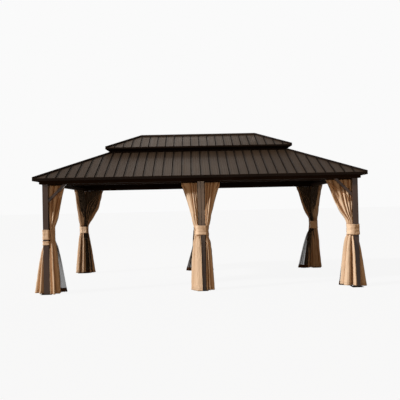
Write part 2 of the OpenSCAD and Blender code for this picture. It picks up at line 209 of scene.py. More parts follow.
def floor_material():
    """White to the eye with a trace of the object's shadow, and a dull warm ground to the object."""
    material, graph, _ = new_material("pale_floor")
    place = graph.node("TexCoord").outputs["Object"]
    tint = graph.ramp(graph.noise(place, FLOOR_PATCHES), (0.3, FLOOR_PALE[0]), (0.7, FLOOR_PALE[1]))
    shadowed = graph.node("BsdfDiffuse", {"Color": tint}).outputs["BSDF"]
    white = graph.node("Emission", {"Color": (*BACKGROUND, 1)}).outputs["Emission"]
    shown = graph.node("MixShader", {0: FLOOR_GLOW, 1: shadowed, 2: white}).outputs["Shader"]
    ground = graph.node("BsdfDiffuse", {"Color": (*FLOOR_BOUNCE, 1)}).outputs["BSDF"]
    both = graph.node("MixShader", {0: seen_or_mirrored(graph), 1: ground, 2: shown}).outputs["Shader"]
    graph.feed(material.node_tree.nodes["Material Output"].inputs["Surface"], both)
    return material


def add_floor():
    mesh = bpy.data.meshes.new("floor")
    h = FLOOR_HALF
    mesh.from_pydata([(-h, -h, 0), (h, -h, 0), (h, h, 0), (-h, h, 0)], [], [(0, 1, 2, 3)])
    mesh.materials.append(floor_material())
    floor = bpy.data.objects.new("floor", mesh)
    floor.location.z = -FLOOR_DROP
    SCENE.collection.objects.link(floor)


def add_light(name, kind, place, target, **settings):
    data = bpy.data.lights.new(name, kind)
    for key, value in settings.items():
        setattr(data, key, value)
    light = bpy.data.objects.new(name, data)
    light.location = place
    light.rotation_mode = "QUATERNION"
    light.rotation_quaternion = (Vector(target) - Vector(place)).to_track_quat("-Z", "Y")
    SCENE.collection.objects.link(light)


def add_lights():
    add_light("sun", "SUN", SUN_FROM * SUN_DISTANCE, SUN_AIM, energy=SUN_STRENGTH, angle=SUN_SIZE)
    add_light(
        "sky_panel", "AREA", SKY_PANEL_PLACE, SKY_PANEL_AIM, energy=SKY_PANEL_WATTS, color=SKY_PANEL_TINT,
        shape="RECTANGLE", size=SKY_PANEL_SIZE[0], size_y=SKY_PANEL_SIZE[1],
    )
    add_light(
        "front_panel", "AREA", FRONT_PANEL_PLACE, FRONT_PANEL_AIM, energy=FRONT_PANEL_WATTS,
        color=FRONT_PANEL_TINT, shape="RECTANGLE", size=FRONT_PANEL_SIZE[0], size_y=FRONT_PANEL_SIZE[1],
    )


# Metal finishes; scales are per metre, depths in metres
COATS = {
    "post_coat": {"colour": (0.066, 0.036, 0.023), "roughness": 0.17, "specular": 0.31},
    # Painted shade: this coat is the frame paint made darker, standing in for the shade the beams and rafters
    # sit in under the roof
    "frame_coat_painted_shade": {"colour": (0.022, 0.0125, 0.0075), "roughness": 0.6, "specular": 0.01},
    "trim_coat": {"colour": (0.0115, 0.0070, 0.0050), "roughness": 0.6, "specular": 0.03},
    "ridge_coat": {"colour": (0.026, 0.016, 0.010), "roughness": 0.65, "specular": 0.03},
}
COAT_CLOUDS = 2.2
COAT_TONES = (0.86, 1.14)
GLOSS_PATCHES = 18.0
GLOSS_SPREAD = 0.07
PEEL_GRAIN = 650.0
PEEL_STRENGTH, PEEL_DEPTH = 0.1, 0.0005

# Roof sheets; the seam pitches are those of the construction
ROOF_BROWN = (0.044, 0.028, 0.0175)
SEAM_PITCH = 0.172
UPPER_SEAM_PITCH = 0.168
SHEETS = {
    "roof_sheet_long": ("X", SEAM_PITCH),
    "roof_sheet_short": ("Y", SEAM_PITCH),
    "upper_sheet_long": ("X", UPPER_SEAM_PITCH),
    "upper_sheet_short": ("Y", UPPER_SEAM_PITCH),
}
STREAKS = {"X": (16.0, 1.1, 1.1), "Y": (1.1, 16.0, 1.1)}
STREAK_SHARE = 0.6
SHEET_CLOUDS = 0.9
SHEET_TONES = (0.8, 1.2)
SHEET_GLOSS = (0.46, 0.62)
SHEET_SPECULAR = 0.06
# Painted shade along the seam ribs: near each seam line the sheet colour darkens to a share of itself, and
# the sheet is rougher there
SEAM_SHADE_FROM, SEAM_SHADE_TO = 0.006, 0.011
SEAM_SHADE_DARKNESS = 0.2
FLUTES_PER_PAN = 4
FLUTE_STRENGTH, FLUTE_DEPTH = 0.8, 0.0011
PAN_WAVES = 3.5
WAVE_STRENGTH, WAVE_DEPTH = 0.25, 0.01
SHEET_GRAIN = 500.0
GRAIN_STRENGTH, GRAIN_DEPTH = 0.05, 0.0004

# Rounded edges of the metal
SHEET_EDGE, FRAME_EDGE = 0.0015, 0.003
WELD_GAP = 0.0002
EDGE_SEGMENTS = 2
EDGE_ANGLE = math.radians(35)


def powder_coat(name, colour, roughness, specular):
    """Coated aluminium: cloudy tone, fine orange peel and a slightly uneven gloss."""
    material, graph, shader = new_material(name)
    place = graph.node("TexCoord").outputs["Object"]
    clouds = graph.noise(place, COAT_CLOUDS, 4.0)
    tone = graph.ramp(clouds, (0.3, shade(colour, COAT_TONES[0])), (0.7, shade(colour, COAT_TONES[1])))
    graph.feed(shader.inputs["Base Color"], tone)
    patches = graph.noise(place, GLOSS_PATCHES, 3.0)
    gloss = graph.span(patches, roughness - GLOSS_SPREAD, roughness + GLOSS_SPREAD)
    graph.feed(shader.inputs["Roughness"], gloss)
    shader.inputs["Specular IOR Level"].default_value = specular
    peel = graph.bump(graph.noise(place, PEEL_GRAIN), PEEL_STRENGTH, PEEL_DEPTH)
    graph.feed(shader.inputs["Normal"], peel)
    return material


def sheet_metal(name, along, pitch):
    """Coated roof sheet: streaks down the slope, painted shade along the seams, faint flutes in the pans and
    a fine grain.
    """
    material, graph, shader = new_material(name)
    place = graph.node("TexCoord").outputs["Object"]
    streaks = graph.noise(graph.stretched(place, STREAKS[along]), 1.0, 4.0, 0.6)
    clouds = graph.noise(place, SHEET_CLOUDS, 3.0)
    dark, light = (shade(ROOF_BROWN, factor) for factor in SHEET_TONES)
    mottle = graph.blend(streaks, clouds, STREAK_SHARE)
    tone = graph.ramp(mottle, (0.32, dark), (0.5, ROOF_BROWN), (0.68, light))
    pans = graph.math("DIVIDE", graph.axis(place, along), pitch)
    # Painted shade: the colour darkens near each seam line, standing in for the shade beside the ribs; the
    # same mask also roughens the seams
    from_seam = graph.math("ABSOLUTE", graph.math("SUBTRACT", pans, graph.math("ROUND", pans)))
    seam_shade = graph.span(from_seam, 1.0, 0.0, SEAM_SHADE_FROM / pitch, SEAM_SHADE_TO / pitch)
    graph.feed(shader.inputs["Base Color"], graph.mix(seam_shade, tone, (*shade(ROOF_BROWN, SEAM_SHADE_DARKNESS), 1)))
    gloss = graph.span(streaks, *SHEET_GLOSS)
    graph.feed(shader.inputs["Roughness"], graph.math("MAXIMUM", gloss, seam_shade))
    shader.inputs["Specular IOR Level"].default_value = SHEET_SPECULAR
    flutes = graph.math("COSINE", graph.math("MULTIPLY", pans, 2 * math.pi * FLUTES_PER_PAN))
    fluted = graph.bump(flutes, FLUTE_STRENGTH, FLUTE_DEPTH)
    waved = graph.bump(graph.noise(place, PAN_WAVES, 1.0), WAVE_STRENGTH, WAVE_DEPTH, fluted)
    grained = graph.bump(graph.noise(place, SHEET_GRAIN), GRAIN_STRENGTH, GRAIN_DEPTH, waved)
    graph.feed(shader.inputs["Normal"], grained)
    return material


def metal_of(name, slot):
    """Name of the finish of a metal node."""
    if name == "ridge_cap":
        return "ridge_coat"
    if slot == "roof":
        tier = "upper" if name.startswith("upper") else "roof"
        run = "short" if name.endswith(("left_roof", "right_roof")) else "long"
        return f"{tier}_sheet_{run}"
    if slot == "trim":
        return "trim_coat"
    # Posts and braces take the frame paint; every other frame part takes its darker copy, which is painted
    # shade
    return "post_coat" if name.endswith("_post") or name == "knee_braces" else "frame_coat_painted_shade"


def round_edges(node, width):
    """Soft edges that catch the light, as folded and extruded metal has."""
    weld = node.modifiers.new("weld", "WELD")
    weld.merge_threshold = WELD_GAP
    bevel = node.modifiers.new("bevel", "BEVEL")
    bevel.width = width
    bevel.segments = EDGE_SEGMENTS
    bevel.limit_method = "ANGLE"
    bevel.angle_limit = EDGE_ANGLE
    bevel.harden_normals = True


def finish_metal():
    metals = {name: powder_coat(name, **coat) for name, coat in COATS.items()}
    metals.update({name: sheet_metal(name, *seams) for name, seams in SHEETS.items()})
    for part in frame["record"]["subparts"]:
        name, slot = part["node"], part["material_slot"]
        if slot not in ("frame", "trim", "roof"):
            continue
        node = NODES[name]
        node.data.materials.clear()
        node.data.materials.append(metals[metal_of(name, slot)])
        round_edges(node, SHEET_EDGE if slot == "roof" else FRAME_EDGE)


# Cloth finishes; scales are per metre of cloth, across and down, depths in metres
CURTAIN_TAN = (0.73, 0.53, 0.36)
# Painted shade: the cloth turns to this brown at the bottom of its fold valleys, where shade falls
FOLD_SHADE_BROWN = (0.35, 0.17, 0.065)
BAND_TAN = (0.83, 0.60, 0.41)
THREAD_PITCH = 0.0012
WEAVE_STRENGTH, WEAVE_DEPTH = 0.3, 0.0005
SLUBS = (14.0, 420.0, 1.0)
SLUB_SHARE = 0.55
DYE_CLOUDS = 5.0
WOVEN_TONES = (0.88, 1.1)
WOVEN_GLOSS = (0.55, 0.7)
WOVEN_SPECULAR = 0.12
SHEEN, SHEEN_ROUGHNESS = 0.04, 0.5
CURTAIN_HEM = 0.045
STITCH_WIDTH = 0.004
STITCH_SHARE, STITCH_SHADE = 0.45, 0.4
CREASES = (26.0, 7.0, 1.0)
CREASE_STRENGTH, CREASE_DEPTH = 0.5, 0.006
NET_GREY = (0.170, 0.150, 0.135)
NET_HEM_BROWN = (0.13, 0.062, 0.028)
NET_TONES = (0.8, 1.25)
NET_HEM = 0.075
NET_COVER, COVER_SPREAD = 0.50, 0.04
NET_PATCHES = (60.0, 60.0, 1.0)
NET_ROUGHNESS, NET_SPECULAR = 0.8, 0.03
WAVES_PER_SCALE = 20


def threads(graph, place, direction):
    """Rounded threads at their real pitch along one direction of the cloth."""
    scale = 2 * math.pi / (WAVES_PER_SCALE * THREAD_PITCH)
    inputs = {"Vector": place, "Scale": scale, "Distortion": 0.4, "Detail": 1.0}
    return graph.node("TexWave", inputs, wave_type="BANDS", bands_direction=direction).outputs["Fac"]


def weave(graph, place, normal=None):
    """Relief of crossing threads over a surface."""
    crossing = graph.math("MULTIPLY", threads(graph, place, "X"), threads(graph, place, "Y"))
    return graph.bump(crossing, WEAVE_STRENGTH, WEAVE_DEPTH, normal)


def woven_cloth(name, colour, drop):
    """Woven polyester: crossing threads, slubs along the weft, cloudy dye, painted shade in the fold valleys,
    a soft sheen and a sewn hem.
    """
    material, graph, shader = new_material(name)
    place = graph.node("UVMap").outputs["UV"]
    slubs = graph.noise(graph.stretched(place, SLUBS), 1.0, 3.0)
    clouds = graph.noise(place, DYE_CLOUDS, 3.0)
    dark, light = (shade(colour, factor) for factor in WOVEN_TONES)
    tone = graph.ramp(graph.blend(slubs, clouds, SLUB_SHARE), (0.3, dark), (0.7, light))
    from_stitch = graph.math("ABSOLUTE", graph.math("SUBTRACT", graph.axis(place, "Y"), drop - CURTAIN_HEM))
    stitch = graph.math("MULTIPLY", graph.math("LESS_THAN", from_stitch, STITCH_WIDTH), STITCH_SHARE)
    sewn = graph.mix(stitch, tone, (*shade(colour, STITCH_SHADE), 1))
    # Painted shade: the colour turns brown by the share of fold valley stored on the mesh
    crease = graph.node("Attribute", attribute_name="crease").outputs["Fac"]
    graph.feed(shader.inputs["Base Color"], graph.mix(crease, sewn, (*FOLD_SHADE_BROWN, 1)))
    graph.feed(shader.inputs["Roughness"], graph.span(slubs, *WOVEN_GLOSS))
    shader.inputs["Specular IOR Level"].default_value = WOVEN_SPECULAR
    shader.inputs["Sheen Weight"].default_value = SHEEN
    shader.inputs["Sheen Roughness"].default_value = SHEEN_ROUGHNESS
    crumples = graph.noise(graph.stretched(place, CREASES), 1.0, 4.0)
    creased = graph.bump(crumples, CREASE_STRENGTH, CREASE_DEPTH)
    graph.feed(shader.inputs["Normal"], weave(graph, place, creased))
    return material


def net_cloth(name, drop):
    """See-through mosquito mesh with an opaque sewn hem along its foot."""
    material, graph, shader = new_material(name)
    place = graph.node("UVMap").outputs["UV"]
    hem = graph.math("GREATER_THAN", graph.axis(place, "Y"), drop - NET_HEM)
    patches = graph.noise(graph.stretched(place, NET_PATCHES), 1.0)
    dark, light = (shade(NET_GREY, factor) for factor in NET_TONES)
    grey = graph.ramp(patches, (0.3, dark), (0.7, light))
    graph.feed(shader.inputs["Base Color"], graph.mix(hem, grey, (*NET_HEM_BROWN, 1)))
    cover = graph.span(patches, NET_COVER - COVER_SPREAD, NET_COVER + COVER_SPREAD)
    graph.feed(shader.inputs["Alpha"], graph.math("MAXIMUM", cover, hem))
    shader.inputs["Roughness"].default_value = NET_ROUGHNESS
    shader.inputs["Specular IOR Level"].default_value = NET_SPECULAR
    graph.feed(shader.inputs["Normal"], weave(graph, place))
    return material


# Curves and fields
def taut_slopes(knots, values):
    """Slopes at the knots of a curve that doesn't swing past its values."""
    rise = np.diff(values, axis=0) / np.diff(knots).reshape((-1,) + (1,) * (values.ndim - 1))
    before, after = rise[:-1], rise[1:]
    same_way = before * after > 0
    total = np.where(same_way, before + after, 1.0)
    return np.concatenate([rise[:1], np.where(same_way, 2 * before * after / total, 0.0), rise[-1:]])


def spline(knots, values, at, taut=False):
    """Smooth curve through values at knots, read at other places along its first axis."""
    knots, values = np.asarray(knots, float), np.asarray(values, float)
    at = np.asarray(at, float)
    slopes = taut_slopes(knots, values) if taut else np.gradient(values, knots, axis=0)
    i = np.clip(np.searchsorted(knots, at, side="right") - 1, 0, len(knots) - 2)
    shape = (-1,) + (1,) * (values.ndim - 1)
    step = (knots[i + 1] - knots[i]).reshape(shape)
    t = (at - knots[i]).reshape(shape) / step
    start = (2 * t**3 - 3 * t**2 + 1) * values[i] + (t**3 - 2 * t**2 + t) * step * slopes[i]
    return start + (3 * t**2 - 2 * t**3) * values[i + 1] + (t**3 - t**2) * step * slopes[i + 1]


def smooth_noise(rng, shape, cells):
    """Smooth random field of a shape, within about -1 to 1, from a coarse grid of cells."""
    grid = rng.uniform(-1, 1, (cells[0] + 1, cells[1] + 1))
    down = spline(np.linspace(0, 1, cells[0] + 1), grid, np.linspace(0, 1, shape[0]))
    return spline(np.linspace(0, 1, cells[1] + 1), down.T, np.linspace(0, 1, shape[1])).T


# Cloth as a mesh
def grid_mesh(name, points, coordinates, closed=False):
    """Sheet of quads over a grid of points, with flat coordinates in metres as its UV map."""
    rows, columns = points.shape[:2]
    last = columns if closed else columns - 1
    index = np.arange(rows * columns).reshape(rows, columns)
    faces = [
        (index[r, c], index[r, (c + 1) % columns], index[r + 1, (c + 1) % columns], index[r + 1, c])
        for r in range(rows - 1) for c in range(last)
    ]
    mesh = bpy.data.meshes.new(name)
    mesh.from_pydata(points.reshape(-1, 3).tolist(), [], [tuple(int(i) for i in f) for f in faces])
    layer = mesh.uv_layers.new(name="UVMap")
    flat = coordinates.reshape(-1, 2)
    corners = np.zeros(len(mesh.loops), int)
    mesh.loops.foreach_get("vertex_index", corners)
    layer.data.foreach_set("uv", flat[corners].astype(np.float32).ravel())
    mesh.polygons.foreach_set("use_smooth", np.ones(len(mesh.polygons), bool))
    piece = bpy.data.objects.new(name, mesh)
    SCENE.collection.objects.link(piece)
    return piece


def thicken(piece, thickness):
    solid = piece.modifiers.new("thickness", "SOLIDIFY")
    solid.thickness = thickness
    solid.offset = 0


# Folds of gathered cloth, in metres and in shares of its width
UNEVEN_FOLDS = (0.7, 1.35)
POST_GAP = 0.006
HEM_LIFT = 0.1
FOLD_DRIFT = 0.35
VALLEY_WIDTH = 1.5
PLEAT_DRIFT = 0.8
PLEAT_SPREAD = 0.3
BEHIND_FROM, BEHIND_SPAN = 0.47, 0.12
WRINKLE, TIED_WRINKLE = 0.0028, 0.004
CRUMPLE_SPAN = 0.2
DRIFT_CELLS = (4, 4)
SPREAD_CELLS = (3, 8)
WRINKLE_CELLS = (30, 24)
PLEAT_ROWS = 5


def fold_angles(rng, across, folds):
    """Angle across a row of folds, a full turn each: an even count made uneven, or stated crease places.

    A first place below 0 is a crease past the edge, so that the cloth is flat at that edge.
    """
    if isinstance(folds, int):
        edges = np.concatenate([[0], np.cumsum(rng.uniform(*UNEVEN_FOLDS, folds))])
        edges = edges / edges[-1]
    else:
        start = [] if folds[0] < 0 else [0]
        edges = np.array([*start, *folds, 1])
    return np.interp(across, edges, 2 * math.pi * np.arange(len(edges)))


def keep_off(plan, low, high):
    """Moves plan points out of a post's section, to its nearest side."""
    low, high = np.array(low) - POST_GAP, np.array(high) + POST_GAP
    inside = np.all((plan > low) & (plan < high), axis=-1)
    x, y = plan[..., 0], plan[..., 1]
    side = np.stack([x - low[0], high[0] - x, y - low[1], high[1] - y]).argmin(axis=0)
    for k, (axis, edge) in enumerate([(0, low[0]), (0, high[0]), (1, low[1]), (1, high[1])]):
        chosen = inside & (side == k)
        plan[..., axis][chosen] = edge


def outward_of(plan):
    """Directions across the rows of plan points, away from the middle of the gazebo."""
    along = np.gradient(plan, axis=1)
    along = along / np.linalg.norm(along, axis=-1, keepdims=True)
    outward = np.stack([along[..., 1], -along[..., 0]], axis=-1)
    return outward * np.sign(outward[0].sum())


def drape(name, stations, mirror, post, folds, seed, size, flat, fullness):
    """Gathered cloth through stations from its top down: height, plan points, lobe, crease and pleat depths.

    folds gives the lobes above and below the tieback and the number of small pleats, and fullness the
    share of the pleat depth at the post's side and at the free edge.
    """
    rng = np.random.default_rng(seed)
    rows, columns = size
    across = np.linspace(0, 1, columns)
    top = stations[0][0]
    knots = [top - s[0] for s in stations]
    depth = np.linspace(0, knots[-1], rows)
    height = top - depth
    lines = [spline(np.linspace(0, 1, len(s[1])), s[1], across) for s in stations]
    plan = spline(knots, lines, depth, taut=True)
    lobe, crease, pleat = (spline(knots, [s[k] for s in stations], depth)[:, None] for k in (2, 3, 4))

    steps = np.linalg.norm(np.diff(plan, axis=0), axis=-1)
    path = np.hypot(steps, np.diff(depth)[:, None]).sum(axis=0)
    lift = HEM_LIFT * (path - path.min())[None] * (depth[:, None] / depth[-1]) ** 2

    below = np.clip((TIE_HIGH - height) / (TIE_HIGH - TIE_LOW), 0, 1)[:, None]
    upper, lower = (fold_angles(rng, across, count)[None] for count in folds[:2])
    drift = smooth_noise(rng, size, DRIFT_CELLS)
    crest = np.abs(np.sin(((1 - below) * upper + below * lower + FOLD_DRIFT * drift) / 2))
    valley = (1 - crest) ** VALLEY_WIDTH
    pleats = fold_angles(rng, across, folds[2])[None]
    pleats = pleats + PLEAT_DRIFT * smooth_noise(rng, size, (PLEAT_ROWS, folds[2]))
    near, far = fullness
    behind = np.clip((across - BEHIND_FROM) / BEHIND_SPAN, 0, 1)
    fuller = (near + (far - near) * behind) * (1 + PLEAT_SPREAD * smooth_noise(rng, size, SPREAD_CELLS))
    tied = np.exp(-((height - (TIE_LOW + TIE_HIGH) / 2) / CRUMPLE_SPAN) ** 2)[:, None]
    wrinkle = (WRINKLE + TIED_WRINKLE * tied) * smooth_noise(rng, size, WRINKLE_CELLS)
    out = lobe * (2 * crest - 1) - crease * valley + pleat * fuller * np.sin(pleats) + wrinkle
    plan = plan + outward_of(plan) * out[..., None]
    keep_off(plan, *post)

    points = np.concatenate([plan * np.array(mirror), (height[:, None] + lift)[..., None]], axis=-1)
    sideways, down = across[None] * flat[0], depth[:, None] / depth[-1] * flat[1]
    coordinates = np.stack(np.broadcast_arrays(sideways, down), axis=-1)
    if mirror[0] * mirror[1] < 0:
        points, coordinates, valley = points[:, ::-1], coordinates[:, ::-1], valley[:, ::-1]
    piece = grid_mesh(name, points, coordinates)
    # How deep each point lies in a fold valley, stored for the cloth colour, which paints shade there
    attribute = piece.data.attributes.new("crease", "FLOAT", "POINT")
    attribute.data.foreach_set("value", valley.astype(np.float32).ravel())
    return piece


# Lines of plan points
def row(start, end, count=5):
    """Plan points in a straight row."""
    start, end = np.array(start), np.array(end)
    return [tuple(start + (end - start) * i / (count - 1)) for i in range(count)]


def rounded(start, end, base, bulge):
    """Plan points of a bundle: its front swells outward and its free edge folds back behind it."""
    shares = [(0, 0.6), (0.5, 1.0), (1.0, -0.1), (0.66, -0.5), (0.25, -0.55)]
    return [(start + (end - start) * a, base + bulge * b) for a, b in shares]


def bunched(start, end):
    """Plan points along a rail, with the spare cloth bunched at the free end."""
    shares = np.array([0, 0.48, 0.93, 0.97, 1.0])[:, None]
    return [tuple(p) for p in np.array(start) + (np.array(end) - np.array(start)) * shares]


def between(start, end, share):
    """Plan points part of the way from one line to another."""
    return [tuple(np.array(a) + (np.array(b) - np.array(a)) * share) for a, b in zip(start, end)]


def off_corner(points):
    """Plan points given from the inner corner of a corner post, outward."""
    return [(INNER_X + x, INNER_Y + y) for x, y in points]


def swapped(points):
    """Plan points about the diagonal of a corner: outward X and outward Y change places."""
    return [(INNER_X + y - INNER_Y, INNER_Y + x - INNER_X) for x, y in points]


# Where cloth hangs: heights, tracks under the rails and reach of the free edge at the tieback
CORNER_POST = ((INNER_X, INNER_Y), (OUTER_X, OUTER_Y))
MIDDLE_POST = ((-MIDDLE_HALF, MIDDLE_LOW.y), (MIDDLE_HALF, MIDDLE_HIGH.y))
TOP_Z = RAIL_Z - 0.001
BEND_Z = BRACE_LOW - 0.05
SWELL_Z = TIE_HIGH + 0.24
HEM_Z = PLATE_TOP + 0.002
LONG_TRACK, END_TRACK, NET_TRACK = 0.015, 0.003, 0.047
SIDE_WAIST, SIDE_NET_WAIST = 0.085, 0.08
MIDDLE_WAIST, MIDDLE_NET_WAIST = 0.06, 0.05
MIDDLE_BOW = 0.05
END_REACH, END_NET_REACH = 0.895, 0.82

# Flat size, fullness, thickness and mesh of the sheets
DROP = TOP_Z - HEM_Z
LONG_FLAT = (1.35, DROP)
END_FLAT = (1.56, DROP)
NET_FLAT = (1.3, DROP)
CURTAIN_FULLNESS = (0.12, 1.5)
NET_FULLNESS = (1.0, 1.0)
NET_FOLDS = (8, 8, 20)
CLOTH_THICKNESS = 0.0016
NET_THICKNESS = 0.0006
FRONT_GRID = (80, 176)
BACK_GRID = (56, 154)
NET_GRID = (36, 140)
NET_SEED = 5


def reach_at(z, top_reach, waist_reach, bow):
    """Reach of the free edge at a height between tieback and rail, bowed out a little."""
    share = (z - TIE_HIGH) / (TOP_Z - TIE_HIGH)
    return waist_reach + (top_reach - waist_reach) * (share + bow * math.sin(math.pi * share))


def side_curtain(corner, reach, start, waist, hem, hem_up, track_gap, bulge):
    """Stations of a curtain along X at a corner, tied to the inner side of the post."""
    x, y = INNER_X, INNER_Y
    track = y - track_gap
    neck, flare = corner["neck"], corner["flare"]
    bend, swell = (x - reach_at(z, reach, SIDE_WAIST, corner["bow"]) for z in (BEND_Z, SWELL_Z + neck))
    return [
        (TOP_Z, bunched((x - start, track), (x - reach, track)), 0.010, 0.016, 0.012),
        (BEND_Z, rounded(x + 0.024, bend, track + 0.004, bulge), 0.014, 0.030, 0.012),
        (SWELL_Z + neck, rounded(x - 0.004, swell, y + 0.015, 0.058), 0.018, 0.035, 0.012),
        (TIE_HIGH + 0.02 + neck, off_corner(waist), 0.008, 0.020, 0.012),
        (TIE_LOW - 0.01, off_corner(waist), 0.008, 0.020, 0.012),
        (TIE_LOW - 0.10, off_corner(between(waist, hem, flare)), 0.016, 0.042, 0.012),
        (HEM_Z + hem_up, off_corner(hem), 0.034, 0.072, 0.013),
    ]


def side_net(reach, start, hem, bow):
    """Stations of a net on the inner track, tied behind the curtain."""
    x, y = INNER_X, INNER_Y
    track = y - NET_TRACK
    bend = x - reach_at(BEND_Z, reach, SIDE_NET_WAIST, bow)
    waist = off_corner([(-0.018, -0.012), (-0.040, -0.030), (-0.065, -0.034), (-0.082, -0.014)])
    return [
        (TOP_Z, row((x - start, track), (x - reach, track)), 0.002, 0.0, 0.013),
        (BEND_Z, row((x - 0.01, track), (bend, track)), 0.004, 0.0, 0.015),
        (TIE_HIGH + 0.02, waist, 0.003, 0.0, 0.015),
        (TIE_LOW - 0.02, waist, 0.003, 0.0, 0.015),
        (TIE_LOW - 0.12, between(waist, off_corner(hem), 0.22), 0.005, 0.0, 0.015),
        (HEM_Z, off_corner(hem), 0.014, 0.0, 0.016),
    ]


def turned(stations):
    """The same cloth on the short rail of the corner."""
    return [(z, swapped(points), *depths) for z, points, *depths in stations]


def middle_curtain(reach, neck, waist, hem, flare):
    """Stations of a curtain beside a middle post, on its +X side."""
    half, y = MIDDLE_HALF, INNER_Y
    track = y - LONG_TRACK
    bend, swell = (half + reach_at(z, reach, MIDDLE_WAIST, MIDDLE_BOW) - 0.014 for z in (BEND_Z, SWELL_Z))
    return [
        (TOP_Z, bunched((half + 0.002, track), (half + reach, track)), 0.010, 0.016, 0.012),
        (BEND_Z, rounded(half, bend, track + 0.010, 0.070), 0.012, 0.030, 0.012),
        (SWELL_Z, rounded(half + 0.004, swell, y + 0.040, 0.075), 0.014, 0.035, 0.012),
        (TIE_HIGH + 0.06, neck, 0.008, 0.025, 0.012),
        (TIE_HIGH + 0.01, waist, 0.005, 0.020, 0.011),
        (TIE_LOW - 0.01, waist, 0.005, 0.020, 0.011),
        (TIE_LOW - 0.10, between(waist, hem, flare), 0.009, 0.028, 0.012),
        (HEM_Z, hem, 0.022, 0.050, 0.013),
    ]


def middle_net(reach, hem_reach):
    """Stations of a net beside a middle post, on its +X side, tied behind the curtain."""
    half, y = MIDDLE_HALF, MIDDLE_LOW.y
    track = INNER_Y - NET_TRACK
    bend = half + reach_at(BEND_Z, reach, MIDDLE_NET_WAIST, MIDDLE_BOW)
    far = half + hem_reach
    waist = [
        (half - 0.03, y - 0.014), (half + 0.005, y - 0.026),
        (half + 0.030, y - 0.028), (half + 0.046, y - 0.012),
    ]
    hem = [
        (half - 0.03, y - 0.02), (half + 0.3 * hem_reach, y - 0.10),
        (far - 0.3 * hem_reach, y - 0.11), (far, y - 0.04),
    ]
    return [
        (TOP_Z, row((half - 0.02, track), (half + reach, track)), 0.002, 0.0, 0.013),
        (BEND_Z, row((half - 0.02, track), (bend, track)), 0.004, 0.0, 0.015),
        (TIE_HIGH + 0.02, waist, 0.003, 0.0, 0.015),
        (TIE_LOW - 0.02, waist, 0.003, 0.0, 0.015),
        (HEM_Z, hem, 0.012, 0.0, 0.016),
    ]


# Curtains and nets hung up
def hang(piece, material, node, thickness):
    piece.data.materials.append(material)
    thicken(piece, thickness)
    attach(piece, "root")
    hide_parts(node)


def hang_curtain(name, node, flat, stations, mirror, post, folds, seed, cloth):
    size = FRONT_GRID if name.startswith("front") else BACK_GRID
    piece = drape(name, stations, mirror, post, folds, seed, size, flat, CURTAIN_FULLNESS)
    hang(piece, cloth, node, CLOTH_THICKNESS)


def hang_net(name, stations, mirror, post, seed, net):
    node = f"{name.split('_')[0]}_nets"
    piece = drape(
        name, stations, mirror, post, NET_FOLDS, seed + NET_SEED, NET_GRID, NET_FLAT, NET_FULLNESS,
    )
    hang(piece, net, node, NET_THICKNESS)


# Lines at the tieback, and at the hem of the nets on the short rails, from the inner corner of a post
TIED_IN = [(-0.004, 0.078), (-0.045, 0.090), (-0.082, 0.045), (-0.072, 0.005), (-0.030, -0.005)]
TIED_BESIDE = [(-0.018, 0.050), (-0.045, 0.068), (-0.066, 0.035), (-0.060, 0.000), (-0.030, -0.008)]
END_TIED = [(-0.004, 0.078), (-0.045, 0.076), (-0.082, 0.040), (-0.072, 0.005), (-0.030, -0.005)]
NET_END_HEM = [(-0.02, 0.06), (-0.06, 0.10), (-0.12, 0.08), (-0.14, 0.05)]

